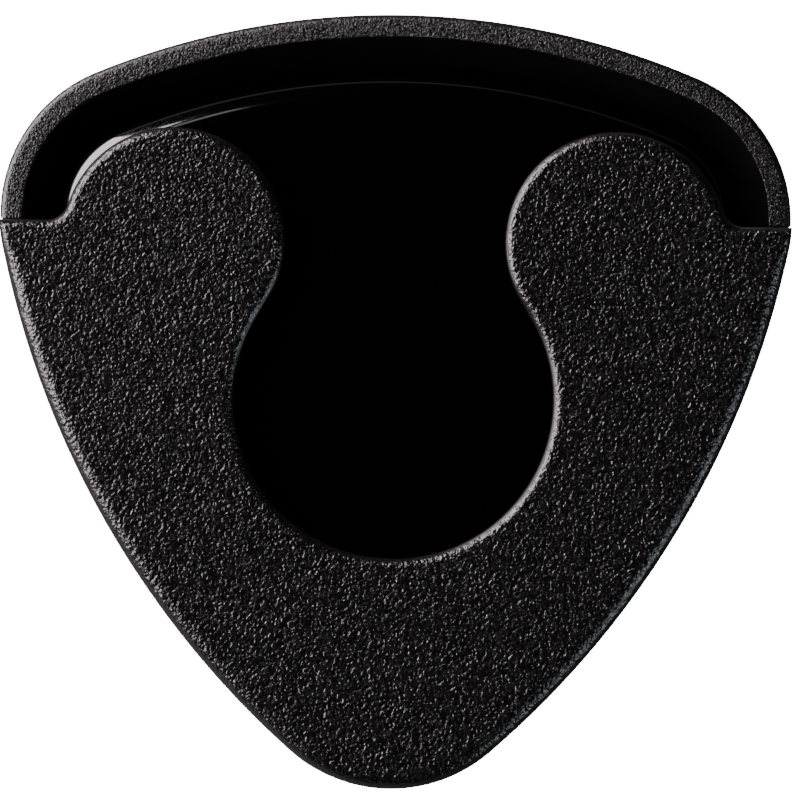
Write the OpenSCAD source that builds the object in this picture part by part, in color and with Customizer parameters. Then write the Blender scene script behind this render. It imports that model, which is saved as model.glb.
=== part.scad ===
// Stick-on holder for guitar picks, with a sprung plate behind a keyhole-shaped front.
// It lies on its back: +Z points out of the front and +Y towards the mouth.
// The origin is the middle of the footprint, on the surface that the holder rests on.

/* [Body outline] */
// Width across the shoulders
body_w = 36; // [32:0.5:44]
// Length from the tip to the mouth
body_l = 35.2; // [29:0.1:43]
// Thickness from the release liner to the front face
body_t = 9.5; // [8.8:0.1:12]
// Radius of the mouth end
mouth_r = 35.4; // [29:0.1:60]
// Radius of the two shoulders
shoulder_r = 7; // [5.8:0.1:8.5]
// Radius of the two long sides
side_r = 41.5; // [34:0.5:60]
// Radius of the tip
tip_r = 6.9; // [5.7:0.1:8.5]

/* [Front cover] */
// Thickness of the front face
cover_t = 1.3; // [1:0.1:1.8]
// Thickness of the side wall
cover_wall = 1.2; // [1:0.1:1.6]
// Diameter of the thumb opening
thumb_d = 14.5; // [12:0.5:17.5]
// Width of the neck between the two lobes
neck_w = 10; // [8:0.5:12]
// Straight length where a lobe runs into the thumb opening
neck_straight = 1.2; // [0.6:0.1:2.5]
// Open width of the mouth beside each lobe
mouth_gap = 1.9; // [1.4:0.1:2.4]
// Distance from the widest point down to the seam between rim and cover
seam_drop = 0.3; // [0:0.1:1.5]
// Distance from the seam down to the middle of each lobe
lobe_drop = 0.8; // [0.3:0.1:1.2]
// Radius of the fillet between a lobe and the shoulder
lobe_fillet = 1; // [0.6:0.1:1.2]

/* [Rear shell] */
// Thickness of the base that the cover stands on
base_t = 1.4; // [1.2:0.1:1.8]
// Depth of the recess that holds the foam pad
recess_h = 0.6; // [0.3:0.1:0.7]
// Width of the land round the recess
recess_land = 2.2; // [1.8:0.1:3]
// Thickness of the rim along its top edge
rim_t = 1; // [0.8:0.1:1.2]
// Distance from the front face down to the rim
rim_drop = 1.9; // [1.5:0.1:2.4]
// Height of the slope inside the rim, which lets a pick ride out
slope_h = 1.7; // [1:0.1:2.2]
// Thickness of the guide wall inside the cover
guide_t = 0.9; // [0.8:0.1:1.2]

/* [Snap fit] */
// Length of each snap rib
snap_l = 4; // [3:0.5:5]
// Height of each snap rib
snap_h = 0.6; // [0.4:0.1:0.9]
// Depth that each snap rib reaches into its window
snap_depth = 0.5; // [0.3:0.1:0.8]
// Height of the snap ribs above the floor
snap_rise = 1.8; // [1:0.1:2.5]

/* [Pressure plate] */
// Thickness of the plate
plate_t = 0.9; // [0.7:0.1:1.2]
// Thickness of the skirt under its edge
skirt_t = 0.8; // [0.6:0.1:1.2]
// How far the plate can be pressed in
plate_travel = 3.5; // [2.5:0.1:3.6]

/* [Leaf spring] */
// Thickness of the steel strip
strip_t = 0.3; // [0.2:0.05:0.4]
// Width of the strip at its middle
strip_w = 7; // [6:0.5:9]
// Width of the strip at its tips
strip_tip_w = 4; // [3:0.1:6]
// Length of the flat middle that lies on the floor
flat_l = 5; // [4:0.5:7]
// Radius of the curl at each tip
curl_r = 1.4; // [1:0.1:2]
// Distance between the two pegs that hold the spring
peg_pitch = 3.6; // [3.4:0.1:4]
// Diameter of each peg
peg_d = 1.6; // [1.2:0.1:1.8]
// Diameter of each peg's staked head
peg_head_d = 2.6; // [2.2:0.1:2.8]

/* [Adhesive pad] */
// Thickness of the foam
foam_t = 1; // [0.8:0.1:1.5]
// Thickness of each adhesive coat
glue_t = 0.1; // [0.05:0.05:0.2]
// Thickness of the release liner
liner_t = 0.1; // [0.1:0.05:0.2]
// Radius of the liner's finger tab
tab_r = 4; // [3:0.5:6]
// How far the tab reaches past the foam
tab_reach = 1.7; // [1:0.1:2]

/* [Clearances] */
// Between the cover's wall and the shell's guide wall
wall_gap = 0.1; // [0.05:0.05:0.2]
// Between the guide wall and the edge of the plate
plate_gap = 0.68; // [0.4:0.02:1]
// Between the plate at rest and the cover
rest_gap = 0.03; // [0.02:0.01:0.1]
// Between the pressed plate's skirt and the floor
stop_gap = 0.05; // [0.02:0.01:0.2]
// Between the ends of the rim and the cover
seam_gap = 0.08; // [0.05:0.01:0.2]
// Between each tip of the spring at rest and the plate's skirt, for the arms to spread into
tip_gap = 1.9; // [1.5:0.1:3]
// Between a snap rib and its window
snap_gap = 0.15; // [0.1:0.05:0.3]
// Between a peg and its hole in the spring
peg_gap = 0.05; // [0.02:0.01:0.1]
// Between the foam pad and its recess
pad_gap = 0.2; // [0.1:0.05:0.4]

/* [Hidden] */

// Largest turn of one straight step along a round stretch, in degrees
fine_step = 5;
wide_step = 2.5;
$fn = 64;
far = 3 * max(body_w, body_l);
cut = 1; // overshoot of a cutting solid

// Heights, from the surface that the holder rests on
recess_z = liner_t + glue_t + foam_t + glue_t;
shell_z = recess_z - recess_h;
floor_z = shell_z + base_t;
cover_z = body_t - cover_t;
rim_z = body_t - rim_drop;
guide_z = cover_z - wall_gap;
plate_z = cover_z - rest_gap - plate_t;
skirt_z = floor_z + stop_gap + plate_travel;
snap_z = floor_z + snap_rise;

// Distances inwards from the body's outline
pocket_inset = cover_wall + wall_gap + guide_t;
plate_inset = pocket_inset + plate_gap;
foam_inset = recess_land + pad_gap;

// Centres of the arcs that make up the outline, right half
mouth_c = [0, body_l / 2 - mouth_r];
shoulder_x = body_w / 2 - shoulder_r;
shoulder_c = [shoulder_x, mouth_c.y + sqrt(pow(mouth_r - shoulder_r, 2) - pow(shoulder_x, 2))];
tip_c = [0, tip_r - body_l / 2];
side_c = meeting_point(tip_c, side_r - tip_r, shoulder_c, side_r - shoulder_r);

// Directions in which neighbouring arcs meet, from the larger arc's centre
mouth_a = angle_to(mouth_c, shoulder_c);
side_top_a = angle_to(side_c, shoulder_c);
side_tip_a = angle_to(side_c, tip_c);

// The seam, the lobes and the thumb opening
seam_y = shoulder_c.y - seam_drop;
lobe_r = (body_w - neck_w) / 4 - (rim_t + mouth_gap) / 2;
lobe_c = [neck_w / 2 + lobe_r, seam_y - lobe_drop];
thumb_r = thumb_d / 2;
lobe_to_thumb = norm([thumb_r + lobe_r, neck_straight]);
thumb_c = [0, lobe_c.y - sqrt(pow(lobe_to_thumb, 2) - pow(lobe_c.x, 2))];
fillet_y = seam_y + lobe_fillet;
fillet_c = [lobe_c.x + sqrt(pow(lobe_r + lobe_fillet, 2) - pow(fillet_y - lobe_c.y, 2)), fillet_y];
fillet_a = angle_to(fillet_c, lobe_c);
neck_a = angle_to(lobe_c, thumb_c) - acos((thumb_r + lobe_r) / lobe_to_thumb);

// Places along each long side that hold a snap rib, as shares of its arc from the tip
snap_places = [0.2, 0.8];

// The spring lies below the middle of the plate, so that it lifts it level
spring_y = thumb_c.y + 1.5;
spring_h = plate_z - floor_z - rest_gap;
curl_a = 60;
skirt_x = side_x(spring_y - strip_tip_w / 2, plate_inset + skirt_t);
crest_x = skirt_x - tip_gap - curl_r * sin(curl_a); // the two points that carry the plate
arm_steps = 16;

function angle_to(from, to) = atan2(to.y - from.y, to.x - from.x);

// The point left of the line from a to b that lies ra from a and rb from b
function meeting_point(a, ra, b, rb) =
    let (
        d = norm(b - a),
        along = (b - a) / d,
        s = (ra * ra - rb * rb + d * d) / (2 * d)
    )
    a + s * along + sqrt(ra * ra - s * s) * [-along.y, along.x];

// Where a long side of the outline, moved inwards by inset, crosses a height along the body
function side_x(y, inset) = side_c.x + sqrt(pow(side_r - inset, 2) - pow(y - side_c.y, 2));

// Points of an arc without its last one, in an even number of steps
function arc(c, r, a0, a1, step = fine_step) =
    let (n = 2 * ceil(abs(a1 - a0) / step / 2))
    [for (i = [0 : n - 1]) let (a = a0 + (a1 - a0) * i / n) c + r * [cos(a), sin(a)]];

function mirrored(points) =
    [for (i = [len(points) - 1 : -1 : 0]) [-points[i].x, points[i].y]];

// The body's outline, moved inwards by inset: tangent arcs that keep their centres
function outline_points(inset) =
    concat(
        arc(tip_c, tip_r - inset, -180 - side_tip_a, side_tip_a),
        arc(side_c, side_r - inset, side_tip_a, side_top_a, wide_step),
        arc(shoulder_c, shoulder_r - inset, side_top_a, 0),
        arc(shoulder_c, shoulder_r - inset, 0, mouth_a),
        arc(mouth_c, mouth_r - inset, mouth_a, 180 - mouth_a, wide_step),
        arc([-shoulder_c.x, shoulder_c.y], shoulder_r - inset, 180 - mouth_a, 180),
        arc([-shoulder_c.x, shoulder_c.y], shoulder_r - inset, 180, 180 - side_top_a),
        arc([-side_c.x, side_c.y], side_r - inset, 180 - side_top_a, 180 - side_tip_a, wide_step)
    );

// Right half of the cover's edge along the mouth, from the seam to the thumb opening's lowest point
function mouth_half() =
    concat(
        [[far, seam_y]],
        arc(fillet_c, lobe_fillet, -90, fillet_a, 2 * fine_step),
        arc(lobe_c, lobe_r, fillet_a + 180, 360 + neck_a),
        arc(thumb_c, thumb_r, neck_a + 180, -90)
    );

module slab(inset, z0, z1) {
    translate([0, 0, z0]) linear_extrude(z1 - z0) polygon(outline_points(inset));
}

module ring(outer_inset, inner_inset, z0, z1) {
    difference() {
        slab(outer_inset, z0, z1);
        slab(inner_inset, z0 - cut, z1 + cut);
    }
}

// A solid that widens from one inset at z0 to another at z1
module flare(inset0, inset1, z0, z1) {
    low = outline_points(inset0);
    high = outline_points(inset1);
    n = len(low);
    polyhedron(
        points = concat([for (p = low) [p.x, p.y, z0]], [for (p = high) [p.x, p.y, z1]]),
        faces = concat(
            [[for (i = [0 : n - 1]) i]],
            [[for (i = [n - 1 : -1 : 0]) n + i]],
            [for (i = [0 : n - 1]) let (j = (i + 1) % n) [i, n + i, n + j, j]]
        )
    );
}

module mouth_side() {
    translate([-far / 2, seam_y + seam_gap, 0]) cube([far, far, body_t + cut]);
}

module cover_side() {
    translate([-far / 2, seam_y - far, 0]) cube([far, far, body_t + cut]);
}

module mouth_cut() {
    translate([0, 0, cover_z - cut])
        linear_extrude(cover_t + 2 * cut)
            polygon(concat(
                mouth_half(),
                [[0, thumb_c.y - thumb_r]],
                mirrored(mouth_half()),
                [[-far, far], [far, far]]
            ));
}

// Blocks across the cover's wall at each place of a snap rib, longer and higher by grow
module snap_blocks(grow) {
    for (side = [0, 1], place = snap_places)
        mirror([side, 0, 0])
            translate([side_c.x, side_c.y, snap_z - grow])
                rotate(side_tip_a + place * (side_top_a - side_tip_a))
                    translate([side_r - pocket_inset - cut, -snap_l / 2 - grow, 0])
                        cube([pocket_inset + cut, snap_l + 2 * grow, snap_h + 2 * grow]);
}

module at_pegs() {
    for (side = [-1, 1]) translate([0, spring_y + side * peg_pitch / 2, floor_z]) children();
}

module rear_shell() {
    head_h = 0.4;
    color("#1d1d1f") {
        difference() {
            slab(0, shell_z, floor_z);
            slab(recess_land, shell_z - cut, recess_z);
        }
        difference() {
            intersection() {
                ring(0, pocket_inset, floor_z, rim_z);
                mouth_side();
            }
            intersection() {
                slope = (pocket_inset - rim_t) / slope_h;
                flare(pocket_inset, rim_t - cut * slope, rim_z - slope_h, rim_z + cut);
                mouth_side();
            }
        }
        difference() {
            intersection() {
                ring(cover_wall + wall_gap, pocket_inset, floor_z, guide_z);
                cover_side();
            }
            snap_blocks(snap_gap);
        }
        // the step between the rim's end and the cover's end is bridged at the guide wall
        intersection() {
            ring(cover_wall + wall_gap, pocket_inset, floor_z, rim_z - slope_h);
            translate([-far / 2, seam_y - cut, 0]) cube([far, cut + seam_gap + cut, body_t]);
        }
        at_pegs() {
            cylinder(d = peg_d, h = strip_t + head_h);
            translate([0, 0, strip_t]) cylinder(d = peg_head_d, h = head_h);
        }
    }
}

module front_cover() {
    color("#242426") {
        difference() {
            slab(0, cover_z, body_t);
            mouth_cut();
        }
        intersection() {
            ring(0, cover_wall, floor_z, cover_z);
            cover_side();
        }
        intersection() {
            ring(cover_wall, cover_wall + wall_gap + snap_depth, floor_z, cover_z);
            snap_blocks(0);
        }
    }
}

module pressure_plate() {
    color("#0d0d0f") {
        slab(plate_inset, plate_z, plate_z + plate_t);
        ring(plate_inset, plate_inset + skirt_t, skirt_z, plate_z);
    }
}

// Middle line of the strip's right half: x, height above the floor and slope
function strip_half() =
    let (
        x0 = flat_l / 2,
        run = crest_x - x0,
        rise = spring_h - strip_t
    )
    concat(
        [for (i = [0 : arm_steps - 1])
            let (u = 180 * i / arm_steps)
            [x0 + run * u / 180, strip_t / 2 + rise * (1 - cos(u)) / 2,
             atan(rise * PI / 2 * sin(u) / run)]],
        [for (a = [0 : 10 : curl_a])
            let (r = curl_r - strip_t / 2)
            [crest_x + r * sin(a), spring_h - curl_r + r * cos(a), -a]]
    );

module strip_profile() {
    half = strip_half();
    left = [for (i = [len(half) - 1 : -1 : 0]) [-half[i].x, half[i].y, -half[i].z]];
    line = concat(left, half);
    upper = [for (p = line) [p.x, p.y] + strip_t / 2 * [-sin(p.z), cos(p.z)]];
    lower = [for (p = line) [p.x, p.y] - strip_t / 2 * [-sin(p.z), cos(p.z)]];
    polygon(concat(upper, [for (i = [len(lower) - 1 : -1 : 0]) lower[i]]));
}

// Plan of the blank: a straight middle and two arms that narrow towards their tips
module strip_blank() {
    half = [[flat_l / 2, strip_w / 2], [crest_x, strip_tip_w / 2], [crest_x + 2 * curl_r, strip_tip_w / 2]];
    right = concat(half, [for (i = [2 : -1 : 0]) [half[i].x, -half[i].y]]);
    polygon(concat(right, [for (p = right) [-p.x, -p.y]]));
}

module leaf_spring() {
    color("#b8bcc2")
        difference() {
            translate([0, spring_y, floor_z])
                intersection() {
                    rotate([90, 0, 0]) linear_extrude(strip_w + cut, center = true) strip_profile();
                    translate([0, 0, -cut]) linear_extrude(spring_h + 2 * cut) strip_blank();
                }
            at_pegs() translate([0, 0, -cut]) cylinder(d = peg_d + 2 * peg_gap, h = strip_t + 2 * cut);
        }
}

module shell_adhesive() {
    color("#d9d6cc") slab(foam_inset, recess_z - glue_t, recess_z);
}

module foam_pad() {
    color("#2b2b2b") slab(foam_inset, liner_t + glue_t, liner_t + glue_t + foam_t);
}

module mounting_adhesive() {
    color("#d9d6cc") slab(foam_inset, liner_t, liner_t + glue_t);
}

module release_liner() {
    tab_y = body_l / 2 - foam_inset + tab_reach - tab_r;
    color("#f2efe4") {
        slab(foam_inset, 0, liner_t);
        translate([0, tab_y, 0]) cylinder(r = tab_r, h = liner_t);
    }
}

rear_shell();
front_cover();
pressure_plate();
leaf_spring();
shell_adhesive();
foam_pad();
mounting_adhesive();
release_liner();
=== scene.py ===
import math
from collections import namedtuple
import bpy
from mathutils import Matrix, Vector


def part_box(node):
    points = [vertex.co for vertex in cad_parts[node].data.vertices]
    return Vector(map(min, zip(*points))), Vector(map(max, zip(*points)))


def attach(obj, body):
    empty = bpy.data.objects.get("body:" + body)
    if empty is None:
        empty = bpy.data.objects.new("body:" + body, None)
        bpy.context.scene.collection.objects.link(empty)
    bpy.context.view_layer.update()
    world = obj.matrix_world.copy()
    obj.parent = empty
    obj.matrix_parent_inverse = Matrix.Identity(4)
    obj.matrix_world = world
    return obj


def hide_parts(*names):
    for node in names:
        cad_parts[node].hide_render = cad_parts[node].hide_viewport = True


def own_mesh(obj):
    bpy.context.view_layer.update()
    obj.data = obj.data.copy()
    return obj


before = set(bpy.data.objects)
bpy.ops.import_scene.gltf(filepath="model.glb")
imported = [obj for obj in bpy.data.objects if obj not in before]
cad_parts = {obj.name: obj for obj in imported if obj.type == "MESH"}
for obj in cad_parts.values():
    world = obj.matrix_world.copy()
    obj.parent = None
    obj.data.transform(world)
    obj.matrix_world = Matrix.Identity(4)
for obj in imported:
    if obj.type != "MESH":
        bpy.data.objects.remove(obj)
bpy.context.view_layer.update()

from types import SimpleNamespace

import bmesh
import bpy
from bpy.props import FloatProperty, FloatVectorProperty, PointerProperty
from bpy.types import Operator, Panel, PropertyGroup
from mathutils import Vector

bl_info = {
    "name": "Pick Holder",
    "version": (1, 0, 0),
    "blender": (4, 5, 0),
    "location": "View3D > Sidebar > Pick Holder",
    "description": "Builds the visible pieces of a stick-on holder for guitar picks",
    "category": "Object",
}

SHELL_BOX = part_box("rear_shell")
COVER_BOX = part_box("front_cover")
PLATE_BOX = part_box("pressure_plate")
SPRING_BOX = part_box("leaf_spring")
FOAM_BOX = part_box("foam_pad")
LINER_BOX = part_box("release_liner")

MM = 0.001
SAME_POINT = 1e-7
SHARP_TURN = math.radians(32)
PEG_SIDES = 40
HOLE_SIDES = 48
CURL_RADIUS = 1.4 * MM
CURL_TURN = math.radians(60)
TAB_STEPS = 40


def size(label, metres):
    return FloatProperty(name=label, default=metres, min=0, precision=5, subtype="DISTANCE", unit="LENGTH")


def mm(label, millimetres):
    return size(label, millimetres * MM)


def place_along(label, metres):
    return FloatProperty(name=label, default=metres, subtype="DISTANCE", unit="LENGTH")


def angle(label, radians):
    return FloatProperty(name=label, default=radians, subtype="ANGLE", unit="ROTATION")


def power(label, value):
    return FloatProperty(name=label, default=value, min=0)


def colour(label, red, green, blue):
    return FloatVectorProperty(name=label, default=(red, green, blue), min=0, max=1, size=3, subtype="COLOR")


class BodySizes(PropertyGroup):
    width: size("Width across the shoulders", SHELL_BOX[1].x - SHELL_BOX[0].x)
    length: size("Length from the tip to the mouth", SHELL_BOX[1].y - SHELL_BOX[0].y)
    mouth_radius: mm("Radius of the mouth end", 35.4)
    shoulder_radius: mm("Radius of the two shoulders", 7)
    side_radius: mm("Radius of the two long sides", 41.5)
    tip_radius: mm("Radius of the tip", 6.9)
    seam_drop: mm("Distance from the widest point down to the seam", 0.3)
    seam_gap: mm("Gap between the rim's ends and the cover", 0.08)


class CoverSizes(PropertyGroup):
    foot: size("Height at which the cover stands on the shell", COVER_BOX[0].z)
    top: size("Height of the front face", COVER_BOX[1].z)
    face: mm("Thickness of the front face", 1.3)
    wall: mm("Thickness of the side wall", 1.2)
    thumb_diameter: mm("Diameter of the thumb opening", 14.5)
    neck_width: mm("Width of the neck between the two lobes", 10)
    neck_straight: mm("Straight length where a lobe runs into the thumb opening", 1.2)
    mouth_gap: mm("Open width of the mouth beside each lobe", 1.9)
    lobe_drop: mm("Distance from the seam down to the middle of each lobe", 0.8)
    lobe_fillet: mm("Radius of the fillet between a lobe and the shoulder", 1)
    outer_round: mm("Rounding of the face's outer edge", 0.7)
    opening_round: mm("Rounding of the edge along the opening", 0.4)
    parting_round: mm("Rounding on both sides of the parting line", 0.15)
    polish_turn: angle("How far up the opening's rounded edge the polish of its wall reaches", math.radians(42))


class ShellSizes(PropertyGroup):
    back: size("Height of the back face", SHELL_BOX[0].z)
    recess: mm("Height of the recess that holds the foam pad", 1.3)
    recess_land: mm("Width of the land round the recess", 2.2)
    floor: mm("Height of the floor", 2.1)
    rim: mm("Height of the rim along the mouth", 7.6)
    rim_thickness: mm("Thickness of the rim along its top", 1)
    slope: mm("Height of the slope inside the rim", 1.7)
    pocket: mm("Distance from the outline to the pocket", 2.2)
    guide: size("Height of the guide wall", SHELL_BOX[1].z)
    guide_thickness: mm("Thickness of the guide wall", 0.9)
    back_round: mm("Rounding of the back's outer edge", 0.45)
    rim_round: mm("Rounding of the rim's outer edge", 0.3)
    snap_length: mm("Length of each snap rib", 4)
    snap_height: mm("Height of each snap rib", 0.6)
    snap_reach: mm("How far each snap rib stands out of the cover's wall", 0.6)
    snap_bottom: mm("Height of the lower edge of each snap rib", 3.9)
    snap_clearance: mm("Gap round each snap rib in its window", 0.15)
    peg_pitch: mm("Distance between the two pegs that hold the spring", 3.6)
    peg_diameter: mm("Diameter of each peg", 1.6)
    peg_head: mm("Diameter of each peg's staked head", 2.6)
    peg_head_height: mm("Height of each peg's staked head", 0.4)


class PlateSizes(PropertyGroup):
    inset: mm("Distance from the body's outline to the plate", 2.88)
    top: size("Height of the plate's face at rest", PLATE_BOX[1].z)
    thickness: mm("Thickness of the plate", 0.9)
    skirt: mm("Thickness of the skirt under its edge", 0.8)
    bottom: size("Height of the skirt's lower edge at rest", PLATE_BOX[0].z)
    bevel: mm("Width of the bevel along the plate's upper edge", 0.8)
    bevel_turn: angle("How far the bevel leans from the plate's face", math.radians(32))
    outer_round: mm("Rounding where the bevel meets the plate's side", 0.6)
    edge_round: mm("Rounding where the bevel meets the plate's face", 1.5)


class SpringSizes(PropertyGroup):
    floor: size("Height of the floor that the spring lies on", SPRING_BOX[0].z)
    top: size("Height of the two crests at rest", SPRING_BOX[1].z)
    middle: place_along("Place of the strip's centre line along the body", (SPRING_BOX[0].y + SPRING_BOX[1].y) / 2)
    thickness: mm("Thickness of the steel strip", 0.3)
    width: size("Width of the strip at its middle", SPRING_BOX[1].y - SPRING_BOX[0].y)
    tip_width: mm("Width of the strip at its tips", 4)
    crest_span: size(
        "Distance between the two crests",
        SPRING_BOX[1].x - SPRING_BOX[0].x - 2 * CURL_RADIUS * math.sin(CURL_TURN),
    )
    flat_length: mm("Length of the flat middle", 5)
    curl_radius: size("Radius of the curl at each tip", CURL_RADIUS)
    tip_length: mm("Length of the last taper at each tip", 0.9)
    tip_taper: power("How much the last taper takes off each side, per length", 0.35)
    hole: mm("Diameter of the holes for the pegs", 1.7)
    pressed_share: FloatProperty(
        name="Share of the height that is left when the plate is pressed in fully",
        default=0.319, min=0.05, max=1, subtype="FACTOR",
    )


class PadSizes(PropertyGroup):
    inset: mm("Distance from the body's outline to the pad", 2.4)
    foam_bottom: size("Height of the foam's lower face", FOAM_BOX[0].z)
    foam_top: size("Height of the foam's upper face", FOAM_BOX[1].z)
    coat: mm("Thickness of each adhesive coat", 0.1)
    liner: size("Thickness of the release liner", LINER_BOX[1].z)
    tab_end: size("How far the finger tab reaches from the origin", LINER_BOX[1].y)
    tab_radius: mm("Radius of the finger tab", 4)
    waist: mm("How far the foam's cut edge draws in", 0.08)


class FinishColours(PropertyGroup):
    plastic: colour("Colour of the grained plastic", 0.0011, 0.0011, 0.0012)
    # Paler tone: painted highlight on the raised blobs of the grain, and real mottle and flow marks on the polished
    # edges and the insides.
    pale_mottle_and_highlight: colour("Colour of the paler specks in the grain", 0.0044, 0.0036, 0.0035)
    plate: colour("Colour of the glossy plate", 0.0003, 0.0003, 0.0004)
    steel: colour("Colour of the spring steel", 0.56, 0.57, 0.58)
    foam: colour("Colour of the foam", 0.03, 0.03, 0.032)
    adhesive: colour("Colour of the adhesive coats", 0.62, 0.6, 0.52)
    paper: colour("Colour of the release liner", 0.8, 0.78, 0.7)
    floor: colour("Colour of the studio floor", 0.93, 0.93, 0.93)
    grain_size: mm("Spacing of the moulded grain", 0.175)
    grain_height: mm("Height of the moulded grain", 0.06)


class StudioSizes(PropertyGroup):
    distance: size("Distance from the camera to the front face", 0.5)
    view_width: mm("Width that the camera sees at the front face", 36.256)
    aim_x: place_along("Where the camera points, across", 0.290 * MM)
    aim_y: place_along("Where the camera points, along", 0.065 * MM)
    roll: angle("Turn of the camera about its own axis", 0.01102)
    floor_span: size("Width of the studio floor", 1.6)
    backdrop_radius: size("Radius of the pale backdrop all round", 4.0)
    floor_glow: power("Light that the floor and the backdrop give off", 18)
    surround: power("Brightness of the room low down on the left", 0.8)
    side_power: power("Power of the large light on the left", 4.3)
    strip_power: power("Power of the narrow light at the upper left", 0.08)
    fill_power: power("Power of the weak light on the right", 1.5)


SETTINGS = {
    "body": BodySizes, "cover": CoverSizes, "shell": ShellSizes, "plate": PlateSizes,
    "spring": SpringSizes, "pad": PadSizes, "finish": FinishColours, "studio": StudioSizes,
}


def settings(group):
    return getattr(bpy.context.scene, "pick_holder_" + group)


# ---- the outline and the opening, seen from the front ----

Station = namedtuple("Station", "point outward")


def towards(turn):
    return Vector((math.cos(turn), math.sin(turn)))


def heading(start, end):
    return math.atan2(end.y - start.y, end.x - start.x)


def meeting_point(a, radius_a, b, radius_b):
    """The point left of the line from a to b that lies radius_a from a and radius_b from b."""
    span = (b - a).length
    along = (b - a) / span
    share = (radius_a**2 - radius_b**2 + span**2) / (2 * span)
    return a + share * along + math.sqrt(radius_a**2 - share**2) * Vector((-along.y, along.x))


def arc(centre, radius, start, end, step, hollow=False, last=False):
    """Stations along an arc. A hollow arc bends round open space, so the outside lies towards its centre."""
    count = max(2, math.ceil(abs(end - start) / math.radians(step) - 1e-6))
    stations = []
    for i in range(count + last):
        spread = towards(start + (end - start) * i / count)
        stations.append(Station(centre + radius * spread, -spread if hollow else spread))
    return stations


def mirrored(run):
    return [Station(Vector((-s.point.x, s.point.y)), Vector((-s.outward.x, s.outward.y))) for s in reversed(run)]


def body_plan():
    """Centres, radii and directions of the arcs that make up the outline, right half."""
    b = settings("body")
    p = SimpleNamespace(sizes=b)
    p.mouth = Vector((0, b.length / 2 - b.mouth_radius))
    across = b.width / 2 - b.shoulder_radius
    p.shoulder = Vector((across, p.mouth.y + math.sqrt((b.mouth_radius - b.shoulder_radius) ** 2 - across**2)))
    p.tip = Vector((0, b.tip_radius - b.length / 2))
    p.side = meeting_point(p.tip, b.side_radius - b.tip_radius, p.shoulder, b.side_radius - b.shoulder_radius)
    p.mouth_turn = heading(p.mouth, p.shoulder)
    p.side_top_turn = heading(p.side, p.shoulder)
    p.side_tip_turn = heading(p.side, p.tip)
    p.seam = p.shoulder.y - b.seam_drop
    return p


def seam_turn(p, height):
    return math.asin((height - p.shoulder.y) / p.sizes.shoulder_radius)


def tip_run(p, height):
    """Stations from the left shoulder at that height, round the tip, to the right shoulder."""
    b = p.sizes
    right = (
        arc(p.tip, b.tip_radius, -math.pi / 2, p.side_tip_turn, 3)
        + arc(p.side, b.side_radius, p.side_tip_turn, p.side_top_turn, 1.25)
        + arc(p.shoulder, b.shoulder_radius, p.side_top_turn, seam_turn(p, height), 2, last=True)
    )
    return mirrored(right)[:-1] + right


def mouth_run(p, height):
    """Stations from the right shoulder at that height, along the mouth, to the left shoulder."""
    b = p.sizes
    right = (
        arc(p.shoulder, b.shoulder_radius, seam_turn(p, height), 0, 2)
        + arc(p.shoulder, b.shoulder_radius, 0, p.mouth_turn, 2.25)
        + arc(p.mouth, b.mouth_radius, p.mouth_turn, math.pi / 2, 1.25, last=True)
    )
    return right + mirrored(right)[1:]


def whole_run(p):
    height = p.seam + p.sizes.seam_gap
    return mouth_run(p, height) + tip_run(p, height)[1:-1]


def opening_run(p, c, rim_thickness):
    """Stations of the cover's edge along the opening, from the right seam corner to the left one."""
    b = p.sizes
    lobe_radius = (b.width - c.neck_width) / 4 - (rim_thickness + c.mouth_gap) / 2
    lobe = Vector((c.neck_width / 2 + lobe_radius, p.seam - c.lobe_drop))
    thumb_radius = c.thumb_diameter / 2
    reach = math.hypot(thumb_radius + lobe_radius, c.neck_straight)
    thumb = Vector((0, lobe.y - math.sqrt(reach**2 - lobe.x**2)))
    fillet_y = p.seam + c.lobe_fillet
    fillet = Vector((lobe.x + math.sqrt((lobe_radius + c.lobe_fillet) ** 2 - (fillet_y - lobe.y) ** 2), fillet_y))
    fillet_turn = heading(fillet, lobe)
    neck_turn = heading(lobe, thumb) - math.acos((thumb_radius + lobe_radius) / reach)
    up = Vector((0, 1))
    corner = tip_run(p, p.seam)[-1]
    miter = (corner.outward + up) / (1 + corner.outward.dot(up))
    shelf = Vector((level_x(p, corner, c.wall), p.seam))
    right = (
        [Station(corner.point, miter), Station(shelf, up)]
        + arc(fillet, c.lobe_fillet, -math.pi / 2, fillet_turn, 6, hollow=True)
        + arc(lobe, lobe_radius, fillet_turn + math.pi, 2 * math.pi + neck_turn, 2.5)
        + arc(thumb, thumb_radius, neck_turn + math.pi, -math.pi / 2, 2, hollow=True, last=True)
    )
    return right + mirrored(right)[1:]


def level_x(p, station, inset):
    """Where the outline, moved inwards by inset, crosses the station's own height."""
    radius = p.sizes.shoulder_radius - inset
    reach = p.shoulder.x + math.sqrt(radius**2 - (station.point.y - p.shoulder.y) ** 2)
    return math.copysign(reach, station.point.x)


def inset_points(p, run, inset, height, level_ends=False):
    """The run's stations, moved inwards and raised to that height. Level ends stay on their own line."""
    points = [Vector((*(s.point - inset * s.outward), height)) for s in run]
    if level_ends:
        for i in (0, -1):
            points[i] = Vector((level_x(p, run[i], inset), run[i].point.y, height))
    return points


# ---- meshes ----

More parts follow.
